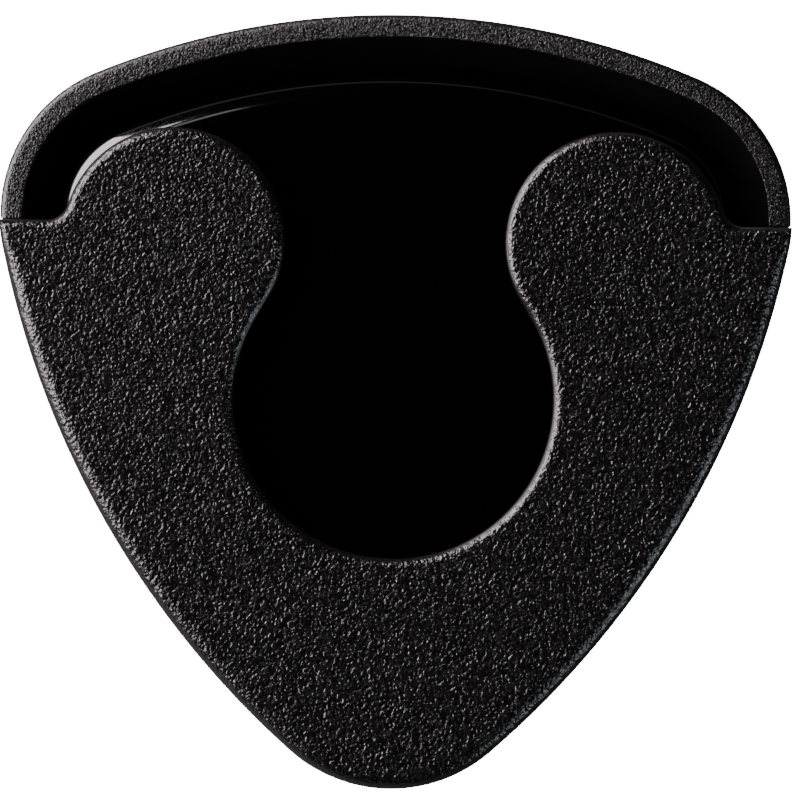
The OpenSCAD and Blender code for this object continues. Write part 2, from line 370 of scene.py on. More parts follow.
def rounded(corners, steps=5):
    """Points of a profile with (inset, height, radius, finish of what follows) corners, each rounded by its radius.

    Also gives the finish of each stretch: a rounding keeps the finish of what comes before it.
    """
    points, finishes = [], []
    for i, (inset, height, radius, finish) in enumerate(corners):
        corner = Vector((inset, height))
        if radius == 0 or i in (0, len(corners) - 1):
            points.append(corner)
            finishes.append(finish)
            continue
        back = (Vector(corners[i - 1][:2]) - corner).normalized()
        ahead = (Vector(corners[i + 1][:2]) - corner).normalized()
        half = back.angle(ahead) / 2
        centre = corner + (back + ahead).normalized() * radius / math.sin(half)
        first = corner + back * radius / math.tan(half) - centre
        last = corner + ahead * radius / math.tan(half) - centre
        swing = math.remainder(math.atan2(last.y, last.x) - math.atan2(first.y, first.x), math.tau)
        start = math.atan2(first.y, first.x)
        points += [centre + radius * towards(start + swing * k / steps) for k in range(steps + 1)]
        finishes += [corners[i - 1][3]] * steps + [finish]
    return points, finishes


GRAIN, EDGE, INSIDE = 0, 1, 2


class Skin:
    """Collects the points and faces of one closed shape."""

    def __init__(self):
        self.points, self.faces, self.finishes = [], [], []

    def row(self, points):
        first = len(self.points)
        self.points += points
        return list(range(first, first + len(points)))

    def strip(self, low, high, finish, closed=False):
        for i in range(len(low) - (not closed)):
            j = (i + 1) % len(low)
            self.face([low[i], low[j], high[j], high[i]], finish)

    def face(self, ring, finish):
        self.faces.append(ring)
        self.finishes.append(finish)

    def loft(self, rows, finishes, closed=True):
        for low, high, finish in zip(rows, rows[1:], finishes):
            self.strip(low, high, finish, closed)

    def tube(self, rows, finishes):
        """A loft with a face at each end."""
        self.loft(rows, finishes)
        self.face(rows[0][::-1], finishes[0])
        self.face(rows[-1], finishes[-1])

    def build(self, name, materials=()):
        """An object with this shape and those materials."""
        mesh = bpy.data.meshes.new(name)
        mesh.from_pydata(self.points, [], self.faces)
        mesh.polygons.foreach_set("material_index", self.finishes)
        tidy_mesh(mesh)
        for material in materials:
            mesh.materials.append(material)
        return new_object(name, mesh)


def tidy_mesh(mesh):
    """Merges doubles, turns every face outwards and shades it smooth between its sharp edges."""
    work = bmesh.new()
    work.from_mesh(mesh)
    bmesh.ops.remove_doubles(work, verts=work.verts, dist=SAME_POINT)
    bmesh.ops.recalc_face_normals(work, faces=work.faces)
    for face in work.faces:
        face.smooth = True
    open_edges = [e for e in work.edges if len(e.link_faces) != 2]
    work.to_mesh(mesh)
    work.free()
    mesh.set_sharp_from_angle(angle=SHARP_TURN)
    if open_edges:
        raise RuntimeError(f"{mesh.name} isn't closed: {len(open_edges)} open edges")


def lofted_solid(name, p, run, corners, steps, material):
    """A closed solid whose profile of (inset, height, radius, finish) corners follows a closed run."""
    skin = Skin()
    points, finishes = rounded(corners, steps)
    skin.tube([skin.row(inset_points(p, run, q.x, q.y)) for q in points], finishes)
    return skin.build(name, [material])


def new_object(name, mesh):
    made = bpy.data.objects.new(name, mesh)
    bpy.context.scene.collection.objects.link(made)
    return made


def combine(target, tool, operation):
    """Joins the tool to the target, or cuts it away, and drops the tool."""
    step = target.modifiers.new("Combine", "BOOLEAN")
    step.operation, step.solver, step.object = operation, "EXACT", tool
    step.material_mode = "TRANSFER"
    bake_modifiers(target)
    bpy.data.objects.remove(tool)


def bake_modifiers(target):
    graph = bpy.context.evaluated_depsgraph_get()
    target.data = bpy.data.meshes.new_from_object(
        target.evaluated_get(graph), preserve_all_data_layers=True, depsgraph=graph,
    )
    target.modifiers.clear()


def finish_piece(piece, body, node):
    """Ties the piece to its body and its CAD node."""
    tidy_mesh(piece.data)
    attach(piece, body)
    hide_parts(node)
    return piece


# ---- node trees for what follows a path or repeats ----

def new_tree(name, *lengths):
    """A geometry tree with a Geometry socket each way, the named lengths and a Material."""
    tree = bpy.data.node_groups.new(name, "GeometryNodeTree")
    tree.interface.new_socket("Geometry", in_out="INPUT", socket_type="NodeSocketGeometry")
    for label in lengths:
        tree.interface.new_socket(label, in_out="INPUT", socket_type="NodeSocketFloat")
    tree.interface.new_socket("Material", in_out="INPUT", socket_type="NodeSocketMaterial")
    tree.interface.new_socket("Geometry", in_out="OUTPUT", socket_type="NodeSocketGeometry")
    return tree, tree.nodes.new("NodeGroupInput").outputs


def place(tree, kind, links=(), **values):
    """Adds a node, sets its own values and links its inputs, given as (input, socket or value)."""
    node = tree.nodes.new(kind)
    for key, value in values.items():
        setattr(node, key, value)
    for key, value in dict(links).items():
        if isinstance(value, bpy.types.NodeSocket):
            tree.links.new(value, node.inputs[key])
        else:
            node.inputs[key].default_value = value
    return node


def take(tree, kind, links=(), **values):
    """The first output of a node added that way."""
    return place(tree, kind, links, **values).outputs[0]


def maths(tree, operation, *terms):
    return take(tree, "ShaderNodeMath", enumerate(terms), operation=operation)


def vector(tree, axis, length):
    return take(tree, "ShaderNodeCombineXYZ", {axis: length})


def end_tree(tree, given, made):
    """Gives what was made the tree's Material and hands it out as one plain mesh."""
    whole = take(tree, "GeometryNodeRealizeInstances", {"Geometry": made})
    painted = take(tree, "GeometryNodeSetMaterial", {"Geometry": whole, "Material": given["Material"]})
    place(tree, "NodeGroupOutput", {"Geometry": painted})
    return tree


def softened(tree, given, section, count):
    """The section with its corners rounded by the tree's Rounding."""
    return take(tree, "GeometryNodeFilletCurve", {
        "Curve": section, "Radius": given["Rounding"], "Count": count,
    }, mode="POLY")


def swept(tree, path, section):
    return take(tree, "GeometryNodeCurveToMesh", {"Curve": path, "Profile Curve": section, "Fill Caps": True})


def wall_tree():
    """A wall of even thickness that follows the path, standing on the path's height."""
    tree, given = new_tree("Wall along a path", "Thickness", "Height", "Rounding")
    path = take(tree, "GeometryNodeMeshToCurve", {"Mesh": given["Geometry"]})
    upright = take(tree, "GeometryNodeSetCurveNormal", {"Curve": path}, mode="Z_UP")
    section = take(tree, "GeometryNodeCurvePrimitiveQuadrilateral", {
        "Width": given["Thickness"], "Height": given["Height"],
    })
    raised = take(tree, "GeometryNodeTransform", {
        "Geometry": softened(tree, given, section, 3),
        "Translation": vector(tree, "Y", maths(tree, "MULTIPLY", given["Height"], -0.5)),
    })
    return end_tree(tree, given, swept(tree, upright, raised))


def rib_tree():
    """Short ribs with sloping flanks, one at each point, turned by the point's own angle."""
    tree, given = new_tree("Snap ribs", "Length", "Foot height", "Crest height", "Reach", "Rounding")
    section = take(tree, "GeometryNodeCurvePrimitiveQuadrilateral", {
        "Bottom Width": given["Foot height"], "Top Width": given["Crest height"],
        "Height": given["Reach"], "Offset": 0.0,
    }, mode="TRAPEZOID")
    ends = [vector(tree, "Y", maths(tree, "MULTIPLY", given["Length"], half)) for half in (-0.5, 0.5)]
    line = take(tree, "GeometryNodeCurvePrimitiveLine", {"Start": ends[0], "End": ends[1]})
    turn = place(tree, "GeometryNodeInputNamedAttribute", {"Name": "turn"}, data_type="FLOAT_VECTOR")
    ribs = take(tree, "GeometryNodeInstanceOnPoints", {
        "Points": given["Geometry"], "Instance": swept(tree, line, softened(tree, given, section, 2)),
        "Rotation": turn.outputs["Attribute"],
    })
    return end_tree(tree, given, ribs)


def peg_tree():
    """A row of round pegs, each with a staked head."""
    tree, given = new_tree("Staked pegs", "Pitch", "Diameter", "Height", "Head diameter", "Head height")
    half = {key: maths(tree, "MULTIPLY", given[key], 0.5) for key in ("Pitch", "Diameter", "Height", "Head diameter")}
    shaft = take(tree, "GeometryNodeMeshCylinder", {
        "Vertices": PEG_SIDES, "Radius": half["Diameter"], "Depth": given["Height"],
    })
    head = take(tree, "GeometryNodeMeshCone", {
        "Vertices": PEG_SIDES, "Radius Top": half["Diameter"], "Radius Bottom": half["Head diameter"],
        "Depth": given["Head height"],
    })
    under = maths(tree, "SUBTRACT", given["Height"], given["Head height"])
    peg = place(tree, "GeometryNodeMeshBoolean", operation="UNION", solver="EXACT")
    for part, lift in ((head, under), (shaft, half["Height"])):
        moved = take(tree, "GeometryNodeTransform", {"Geometry": part, "Translation": vector(tree, "Z", lift)})
        tree.links.new(moved, peg.inputs["Mesh 2"])
    row = take(tree, "GeometryNodeMeshLine", {
        "Count": 2, "Start Location": vector(tree, "Y", maths(tree, "MULTIPLY", half["Pitch"], -1.0)),
        "Offset": vector(tree, "Y", given["Pitch"]),
    })
    copies = take(tree, "GeometryNodeInstanceOnPoints", {"Points": row, "Instance": peg.outputs[0]})
    rows = take(tree, "GeometryNodeInstanceOnPoints", {"Points": given["Geometry"], "Instance": copies})
    return end_tree(tree, given, rows)


def grow(name, source, tree, **values):
    """Runs a node tree on a mesh and keeps the plain mesh that it makes."""
    made = new_object(name, source)
    step = made.modifiers.new(tree.name, "NODES")
    step.node_group = tree
    for item in tree.interface.items_tree:
        if item.item_type == "SOCKET" and item.in_out == "INPUT" and item.name in values:
            step[item.identifier] = values[item.name]
    bake_modifiers(made)
    tidy_mesh(made.data)
    return made


def path_mesh(name, points):
    mesh = bpy.data.meshes.new(name)
    mesh.from_pydata(points, [(i, i + 1) for i in range(len(points) - 1)], [])
    return mesh


def snap_ribs(name, p, inset, clearance, tree, material):
    """The four snap ribs on the cover's inner wall, or the windows for them when there is a clearance."""
    s = settings("shell")
    points, turns = [], []
    for side in (1, -1):
        for share in (0.2, 0.8):
            turn = p.side_tip_turn + share * (p.side_top_turn - p.side_tip_turn)
            spot = p.side + (p.sizes.side_radius - inset) * towards(turn)
            points.append((side * spot.x, spot.y, s.snap_bottom + s.snap_height / 2))
            turns += [0, 0, turn if side > 0 else math.pi - turn]
    mesh = bpy.data.meshes.new(name)
    mesh.from_pydata(points, [], [])
    mesh.attributes.new("turn", "FLOAT_VECTOR", "POINT").data.foreach_set("vector", turns)
    foot = s.snap_height + 2 * clearance
    return grow(name, mesh, tree, **{
        "Length": s.snap_length + 2 * clearance, "Foot height": foot,
        "Crest height": foot if clearance else foot / 2,
        "Reach": 6 * s.snap_reach if clearance else 2 * s.snap_reach,
        "Rounding": 0.08 * MM, "Material": material,
    })


# ---- finishes ----

def new_material(name, constants):
    """A material whose plain values are set on the shader itself, with its tree and its shader."""
    material = bpy.data.materials.new(name)
    material.use_nodes = True
    tree = material.node_tree
    shader = tree.nodes["Principled BSDF"]
    for key, value in constants.items():
        shader.inputs[key].default_value = value
    return material, tree, shader


def object_position(tree, scale, turn=0.0):
    spot = place(tree, "ShaderNodeTexCoord").outputs["Object"]
    scale = scale if hasattr(scale, "__len__") else (scale,) * 3
    return take(tree, "ShaderNodeMapping", {"Vector": spot, "Scale": scale, "Rotation": (0, 0, turn)})


def noise(tree, spot, scale=1.0, detail=2.0, roughness=0.5, distortion=0.0):
    return take(tree, "ShaderNodeTexNoise", {
        "Vector": spot, "Scale": scale, "Detail": detail, "Roughness": roughness, "Distortion": distortion,
    })


def cells(tree, spot, feature, **values):
    return take(tree, "ShaderNodeTexVoronoi", {"Vector": spot, **values}, feature=feature)


def ramp(tree, source, *stops):
    """A ramp of (position, grey or colour) stops."""
    node = place(tree, "ShaderNodeValToRGB", {"Fac": source})
    elements = node.color_ramp.elements
    while len(elements) < len(stops):
        elements.new(0.5)
    for element, (position, value) in zip(elements, stops):
        element.position = position
        element.color = (*value, 1) if hasattr(value, "__len__") else (value, value, value, 1)
    return node.outputs["Color"]


def vary(tree, shader, key, source, *stops):
    """Lets the source drive one of the shader's inputs by a ramp."""
    tree.links.new(ramp(tree, source, *stops), shader.inputs[key])


def tone(colour, share):
    return tuple(share * v for v in colour)


def sum_of(tree, *terms):
    """Adds sockets, each times its weight."""
    total = None
    for socket, weight in terms:
        part = maths(tree, "MULTIPLY", socket, weight)
        total = part if total is None else maths(tree, "ADD", total, part)
    return total


def bump(tree, shader, height, distance, strength=1.0):
    node = take(tree, "ShaderNodeBump", {"Height": height, "Distance": distance, "Strength": strength})
    tree.links.new(node, shader.inputs["Normal"])


def facing_up(tree, *stops):
    """A ramp over how far the surface faces up: 0 on a side wall, 1 on a level face."""
    turned = place(tree, "ShaderNodeTexCoord").outputs["Normal"]
    return ramp(tree, place(tree, "ShaderNodeSeparateXYZ", {"Vector": turned}).outputs["Z"], *stops)


def grained_plastic(f, tree, shader, spacing=1.0, relief=1.0, paleness=1.0):
    """Black plastic with a spark-eroded grain: rounded blobs with a few shiny specks, shallower on the walls. The
    raised blobs carry a paler base colour, a painted highlight.
    """
    spot = object_position(tree, 1 / (f.grain_size * spacing))
    blobs = noise(tree, spot, roughness=0.55, distortion=0.6)
    pits = cells(tree, spot, "SMOOTH_F1", Scale=1.15, Smoothness=0.5)
    fine, swell = noise(tree, spot, 3.4, 1.0), noise(tree, spot, 0.4, 1.0)
    height = sum_of(tree, (blobs, 1.0), (pits, -0.55), (fine, 0.05), (swell, 0.7))
    bump(tree, shader, height, f.grain_height * relief, facing_up(tree, (0.0, 0.2), (0.55, 0.35), (0.95, 1.0)))
    vary(tree, shader, "Roughness", noise(tree, spot, 0.55, 3.0, 0.6), (0.35, 0.3), (0.62, 0.18))
    # Painted highlight: the raised blobs of the grain are painted paler than the hollows between them.
    vary(tree, shader, "Base Color", blobs, (0.4, tone(f.plastic, paleness)), (0.75, tone(f.pale_mottle_and_highlight, paleness)))


def fine_grained_plastic(f, tree, shader):
    """The shell's finer and flatter grain."""
    grained_plastic(f, tree, shader, spacing=0.5, relief=0.6, paleness=1.3)


def edge_plastic(f, tree, shader):
    """The same plastic where the mould was polished: rounded edges with a faint mottle."""
    mottle = noise(tree, object_position(tree, 1 / f.grain_size), 0.7, 3.0, 0.6)
    vary(tree, shader, "Roughness", mottle, (0.3, 0.38), (0.7, 0.26))
    vary(tree, shader, "Base Color", mottle, (0.3, f.plastic), (0.8, f.pale_mottle_and_highlight))
    bump(tree, shader, mottle, 0.012 * MM)


def inside_plastic(f, tree, shader):
    """The smooth inside of the mouldings, with faint flow marks."""
    flow = noise(tree, object_position(tree, (260, 900, 400)), 1.0, 4.0, 0.55, 0.4)
    vary(tree, shader, "Roughness", flow, (0.3, 0.28), (0.7, 0.16))
    vary(tree, shader, "Base Color", flow, (0.3, f.plastic), (0.9, f.pale_mottle_and_highlight))
    bump(tree, shader, flow, 0.008 * MM)


def gloss_plastic(f, tree, shader):
    """Polished black plastic with a trace of haze and a barely wavy face."""
    spot = object_position(tree, 220)
    waves, scuffs = noise(tree, spot, 1.0, 2.0, 0.4), noise(tree, spot, 40.0, 4.0, 0.7)
    vary(tree, shader, "Roughness", scuffs, (0.35, 0.05), (0.75, 0.13))
    vary(tree, shader, "Base Color", waves, (0.3, f.plate), (0.8, tone(f.plate, 1.5)))
    bump(tree, shader, waves, 0.01 * MM)


def spring_steel(f, tree, shader):
    """Rolled steel strip, brushed along its length, with a faint heat tint."""
    lines = noise(tree, object_position(tree, (300, 14000, 300)), 1.0, 5.0, 0.65)
    broad = noise(tree, object_position(tree, 320))
    vary(tree, shader, "Roughness", lines, (0.3, 0.2), (0.7, 0.38))
    warm = (f.steel[0] * 0.92, f.steel[1] * 0.84, f.steel[2] * 0.72)
    vary(tree, shader, "Base Color", broad, (0.45, f.steel), (0.8, warm))
    bump(tree, shader, lines, 0.004 * MM)


def closed_cell_foam(f, tree, shader):
    """Dense black foam with closed cells that show as small pits on its cut edge, with painted shade in the pits."""
    spot = object_position(tree, 1 / (0.16 * MM))
    pits, soft = cells(tree, spot, "F1", Scale=1.0, Randomness=1.0), noise(tree, spot, 0.3, 3.0)
    bump(tree, shader, sum_of(tree, (pits, 1.0), (soft, 0.5)), 0.05 * MM)
    # Painted shade: darker at the bottom of each pit and paler towards the cell rims, following the same pits as the
    # bump.
    vary(tree, shader, "Base Color", pits, (0.2, tone(f.foam, 0.5)), (0.8, tone(f.foam, 2.2)))
    vary(tree, shader, "Roughness", soft, (0.3, 0.75), (0.7, 0.95))


def adhesive_film(f, tree, shader):
    """A clear, slightly milky adhesive coat with small trapped blisters."""
    spot = object_position(tree, 900)
    blisters = cells(tree, spot, "SMOOTH_F1", Scale=1.0, Smoothness=1.0)
    vary(tree, shader, "Base Color", noise(tree, spot, 0.4, 3.0), (0.3, tone(f.adhesive, 0.8)), (0.7, f.adhesive))
    vary(tree, shader, "Roughness", blisters, (0.1, 0.1), (0.7, 0.3))
    bump(tree, shader, blisters, 0.02 * MM)


def liner_paper(f, tree, shader):
    """Glassine paper: fine fibres under a waxy surface, with a slight cockle."""
    fibres = noise(tree, object_position(tree, (2600, 700, 2600), 0.5), 1.0, 5.0, 0.7, 1.2)
    cockle = noise(tree, object_position(tree, 160), 1.0, 1.0)
    vary(tree, shader, "Base Color", fibres, (0.35, tone(f.paper, 0.86)), (0.65, f.paper))
    vary(tree, shader, "Roughness", fibres, (0.3, 0.36), (0.7, 0.52))
    bump(tree, shader, sum_of(tree, (fibres, 0.05), (cockle, 1.0)), 0.12 * MM)


FINISHES = {
    "spark_grain": (grained_plastic, {"Roughness": 0.3, "IOR": 1.5}),
    "fine_spark_grain": (fine_grained_plastic, {"Roughness": 0.3, "IOR": 1.5}),
    "polished_edge": (edge_plastic, {"Roughness": 0.3, "IOR": 1.5}),
    "smooth_inside": (inside_plastic, {"Roughness": 0.2, "IOR": 1.5}),
    "gloss_black": (gloss_plastic, {"Roughness": 0.07, "IOR": 1.49, "Coat Weight": 0.3, "Coat Roughness": 0.03}),
    "brushed_strip": (spring_steel, {"Roughness": 0.3, "Metallic": 1.0, "Anisotropic": 0.5}),
    "closed_cells": (closed_cell_foam, {"Roughness": 0.85, "Sheen Weight": 0.2, "Sheen Roughness": 0.5}),
    "clear_coat": (adhesive_film, {"Roughness": 0.15, "IOR": 1.47, "Coat Weight": 0.4, "Coat Roughness": 0.08}),
    "glassine": (liner_paper, {"Roughness": 0.42, "Coat Weight": 0.2, "Coat Roughness": 0.25}),
}


def finish(name):
    """The material with that finish, made the first time that it is asked for."""
    material = bpy.data.materials.get(name)
    if material is None:
        texture, constants = FINISHES[name]
        material, tree, shader = new_material(name, constants)
        texture(settings("finish"), tree, shader)
    return material


def moulded(grain):
    return [finish(grain), finish("polished_edge"), finish("smooth_inside")]


# ---- operators ----

class MakeRearShell(Operator):
    """Makes the shell: base with a recess, rim along the mouth, guide wall with windows, and two pegs"""

    bl_idname = "pick_holder.make_rear_shell"
    bl_label = "Rear shell"

    def execute(self, context):
        p, s, c = body_plan(), settings("shell"), settings("cover")
        seam, split = p.seam + p.sizes.seam_gap, s.floor - c.parting_round
        mouth, tip = mouth_run(p, seam), tip_run(p, seam)
        skin = Skin()
        lower, kinds = rounded([
            (s.recess_land, s.recess, 0, INSIDE),
            (s.recess_land, s.back, 0.12 * MM, GRAIN),
            (0, s.back, s.back_round, GRAIN),
            (0, split, 0, GRAIN),
        ])
        rows = [skin.row(inset_points(p, mouth + tip[1:-1], q.x, q.y)) for q in lower]
        skin.loft(rows, kinds)
        skin.face(rows[0][::-1], INSIDE)
        waist = rows[-1]
        mouth_waist = waist[: len(mouth)]
        tip_waist = [waist[len(mouth) - 1], *waist[len(mouth):], waist[0]]
        rim, kinds = rounded([
            (0, split, 0, GRAIN),
            (0, s.rim, s.rim_round, GRAIN),
            (s.rim_thickness, s.rim, 0.08 * MM, INSIDE),
            (s.pocket, s.rim - s.slope, 0.2 * MM, INSIDE),
            (s.pocket, s.floor, 0, INSIDE),
        ], 6)
        rim_rows = [mouth_waist] + [skin.row(inset_points(p, mouth, q.x, q.y, True)) for q in rim[1:]]
        skin.loft(rim_rows, kinds, closed=False)
        ledge, kinds = rounded([
            (0, split - 0.2 * MM, 0, GRAIN),
            (0, s.floor, c.parting_round, GRAIN),
            (s.pocket, s.floor, 0, INSIDE),
        ], 4)
        ledge_rows = [tip_waist] + [skin.row(inset_points(p, tip, q.x, q.y, True)) for q in ledge[2:-1]]
        skin.loft(ledge_rows, [GRAIN] * len(ledge_rows), closed=False)
        skin.face(ledge_rows[-1] + rim_rows[-1], INSIDE)
        for end in (0, -1):
            skin.face([row[end] for row in rim_rows] + [row[-1 - end] for row in ledge_rows[:0:-1]], GRAIN)
        moulds = moulded("fine_spark_grain")
        shell = skin.build("shell_moulding", moulds)
        sunk = 0.3 * MM
        middle = s.pocket - s.guide_thickness / 2
        path = inset_points(p, tip_run(p, p.seam), middle, s.floor - sunk, True)
        guide = grow("guide", path_mesh("guide", path), wall_tree(), **{
            "Thickness": s.guide_thickness, "Height": s.guide - s.floor + sunk,
            "Rounding": 0.12 * MM, "Material": moulds[INSIDE],
        })
        windows = snap_ribs("windows", p, middle, s.snap_clearance, rib_tree(), moulds[INSIDE])
        combine(guide, windows, "DIFFERENCE")
        combine(shell, guide, "UNION")
        spring = settings("spring")
        foot = path_mesh("pegs", [Vector((0, spring.middle, s.floor - sunk))])
        pegs = grow("pegs", foot, peg_tree(), **{
            "Pitch": s.peg_pitch, "Diameter": s.peg_diameter, "Head diameter": s.peg_head,
            "Head height": s.peg_head_height, "Height": sunk + spring.thickness + s.peg_head_height,
            "Material": moulds[INSIDE],
        })
        combine(shell, pegs, "UNION")
        finish_piece(shell, "holder", "rear_shell")
        return {"FINISHED"}


class MakeFrontCover(Operator):
    """Makes the cover: grained face with the keyhole opening, side wall and snap ribs"""

    bl_idname = "pick_holder.make_front_cover"
    bl_label = "Front cover"

    def execute(self, context):
        p, c, s = body_plan(), settings("cover"), settings("shell")
        opening = opening_run(p, c, s.rim_thickness)
        side = tip_run(p, p.seam)
        loop, radii = list(opening), [c.opening_round] * len(opening)
        travelled, fade, land_gap = [0.0], 2.5 * MM, 0.04 * MM
        for a, b in zip(side, side[1:]):
            travelled.append(travelled[-1] + (b.point - a.point).length)
        for q, along in list(zip(side, travelled))[1:-1]:
            at_left = along < travelled[-1] / 2
            share = min(1, min(along, travelled[-1] - along) / fade)
            share = share * share * (3 - 2 * share)
            near, far = (opening[-1], side[0]) if at_left else (opening[0], side[-1])
            loop.append(Station(q.point, q.outward + (1 - share) * (near.outward - far.outward)))
            radii.append(c.opening_round + share * (c.outer_round - c.opening_round))
        skin = Skin()
        steps, quarter, under = 9, math.pi / 2, c.top - c.face
        rows = []
        for k in range(steps + 1):
            back, down = 1 - math.cos(quarter * k / steps), 1 - math.sin(quarter * k / steps)
            rows.append(skin.row([
                Vector((*(q.point - r * back * q.outward), c.top - r * down)) for q, r in zip(loop, radii)
            ]))
        land = skin.row([Vector((*(q.point - (r + land_gap) * q.outward), c.top)) for q, r in zip(loop, radii)])
        last = len(opening) - 1
        for k, (under_row, over_row) in enumerate(zip(rows, rows[1:])):
            polished = quarter * (k + 0.5) / steps < c.polish_turn
            skin.strip(under_row[: last + 1], over_row[: last + 1], EDGE if polished else GRAIN)
            skin.strip(under_row[last:] + under_row[:1], over_row[last:] + over_row[:1], GRAIN)
        skin.strip(rows[-1], land, GRAIN, closed=True)
        skin.face(land, GRAIN)
        low = skin.row([Vector((*q.point, under)) for q in opening])
        skin.strip(low, rows[0][: last + 1], EDGE)
        outer, kinds = rounded([
            (c.wall, under, 0, INSIDE),
            (c.wall, c.foot, 0.1 * MM, INSIDE),
            (0, c.foot, c.parting_round, GRAIN),
            (0, under, 0, GRAIN),
        ], 4)
        columns = []
        for q in outer:
            points = inset_points(p, side, q.x, q.y, True)
            if q is outer[0]:
                columns.append([low[-2], *skin.row(points[1:-1]), low[1]])
            elif q is outer[-1]:
                columns.append([low[-1], *skin.row(points[1:-1]), low[0]])
            else:
                columns.append(skin.row(points))
        skin.loft(columns, kinds, closed=False)
        skin.strip(columns[-1], [rows[0][last], *rows[0][last + 1:], rows[0][0]], GRAIN)
        skin.face((low[1:-1] + columns[0][1:-1])[::-1], INSIDE)
        for end in (-1, 0):
            skin.face([column[end] for column in columns], GRAIN)
        moulds = moulded("spark_grain")
        cover = skin.build("cover_moulding", moulds)
        ribs = snap_ribs("ribs", p, c.wall, 0, bpy.data.node_groups["Snap ribs"], moulds[INSIDE])
        combine(cover, ribs, "UNION")
        finish_piece(cover, "holder", "front_cover")
        return {"FINISHED"}


class MakePressurePlate(Operator):
    """Makes the glossy plate that pushes the picks against the cover"""

    bl_idname = "pick_holder.make_pressure_plate"
    bl_label = "Pressure plate"

    def execute(self, context):
        p, s = body_plan(), settings("plate")
        inner, under = s.inset + s.skirt, s.top - s.thickness
        land = 0.6 * MM
        plate = lofted_solid("plate_moulding", p, whole_run(p), [
            (inner + land, under, 0, 0), (inner, under, 0, 0),
            (inner, s.bottom, 0.12 * MM, 0), (s.inset, s.bottom, 0.25 * MM, 0),
            (s.inset, s.top - s.bevel * math.tan(s.bevel_turn), s.outer_round, 0),
            (s.inset + s.bevel, s.top, s.edge_round, 0), (s.inset + s.bevel + land, s.top, 0, 0),
        ], 8, finish("gloss_black"))
        finish_piece(plate, "plate", "pressure_plate")
        return {"FINISHED"}


class MakeLeafSpring(Operator):
    """Makes the bent steel strip that lifts the plate"""

    bl_idname = "pick_holder.make_leaf_spring"
    bl_label = "Leaf spring"

    def centre_line(self, s):
        """Middle line of the right half: distance out, height above the floor and slope."""
        start, crest, half = s.flat_length / 2, s.crest_span / 2, s.thickness / 2
        height = s.top - s.floor
        run, rise = crest - start, height - s.thickness
        line = [(start * k / 6, half, 0.0) for k in range(6)]
        for k in range(28):
            u = math.pi * k / 28
            slope = math.atan(rise * math.pi / 2 * math.sin(u) / run)
            line.append((start + run * u / math.pi, half + rise * (1 - math.cos(u)) / 2, slope))
        radius = s.curl_radius - half
        for k in range(9):
            a = CURL_TURN * k / 8
            line.append((crest + radius * math.sin(a), height - s.curl_radius + radius * math.cos(a), -a))
        return line

    def half_width(self, s, out):
        """Half the strip's width at that distance out: it tapers along the arm and once more at the tip."""
        start, crest = s.flat_length / 2, s.crest_span / 2
        share = min(1, max(0, (out - start) / (crest - start)))
        left = max(0, crest + s.curl_radius - out)
        return (s.width + share * (s.tip_width - s.width)) / 2 - max(0, s.tip_length - left) * s.tip_taper

    def drill(self, s, centre):
        """A round solid that cuts one hole."""
        skin, radius = Skin(), s.hole / 2
        turns = [math.tau * (k + 0.5) / HOLE_SIDES for k in range(HOLE_SIDES)]
        skin.tube([
            skin.row([centre + Vector((*(radius * towards(a)), z)) for a in turns])
            for z in (s.floor - 0.5 * MM, s.floor + 1 * MM)
        ], [0])
        return skin.build("drill")

    def execute(self, context):
        s, pegs = settings("spring"), settings("shell")
        half = self.centre_line(s)
        t, edge = s.thickness / 2, 0.06 * MM
        skin, rings = Skin(), []
        for x, z, a in [(-x, z, -a) for x, z, a in reversed(half[1:])] + half:
            reach = self.half_width(s, abs(x))
            rise = Vector((-math.sin(a), 0, math.cos(a)))
            middle = Vector((x, s.middle, s.floor + z))
            section = [(-reach + edge, -t), (reach - edge, -t), (reach, -t + edge), (reach, t - edge)]
            section += [(-y, -h) for y, h in section]
            rings.append(skin.row([middle + Vector((0, y, 0)) + h * rise for y, h in section]))
        skin.tube(rings, [0] * len(rings))
        spring = skin.build("spring_strip", [finish("brushed_strip")])
        for side in (-1, 1):
            centre = Vector((0, s.middle + side * pegs.peg_pitch / 2, 0))
            combine(spring, self.drill(s, centre), "DIFFERENCE")
        finish_piece(spring, "holder", "leaf_spring")
        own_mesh(spring)
        return {"FINISHED"}


class MakeMountingTape(Operator):
    """Makes the foam pad with an adhesive coat on each face"""

    bl_idname = "pick_holder.make_mounting_tape"
    bl_label = "Mounting tape"

    def execute(self, context):
        p, s = body_plan(), settings("pad")
        run, low, high = whole_run(p), s.foam_bottom, s.foam_top
        depth = high - low
        foam = lofted_solid("foam_core", p, run, [
            (s.inset + 0.3 * MM, low, 0, 0), (s.inset, low, 0.04 * MM, 0),
            (s.inset + s.waist, low + 0.3 * depth, 0.3 * MM, 0), (s.inset + s.waist, low + 0.7 * depth, 0.3 * MM, 0),
            (s.inset, high, 0.04 * MM, 0), (s.inset + 0.3 * MM, high, 0, 0),
        ], 3, finish("closed_cells"))
        finish_piece(foam, "holder", "foam_pad")
        land = s.inset + 0.15 * MM
        for name, bottom in (("mounting_adhesive", low - s.coat), ("shell_adhesive", high)):
            top = bottom + s.coat
            coat = lofted_solid(name + "_coat", p, run, [
                (land, bottom, 0, 0), (s.inset, bottom, 0.02 * MM, 0), (s.inset, top, 0.02 * MM, 0), (land, top, 0, 0),
            ], 2, finish("clear_coat"))
            finish_piece(coat, "holder", name)
        return {"FINISHED"}


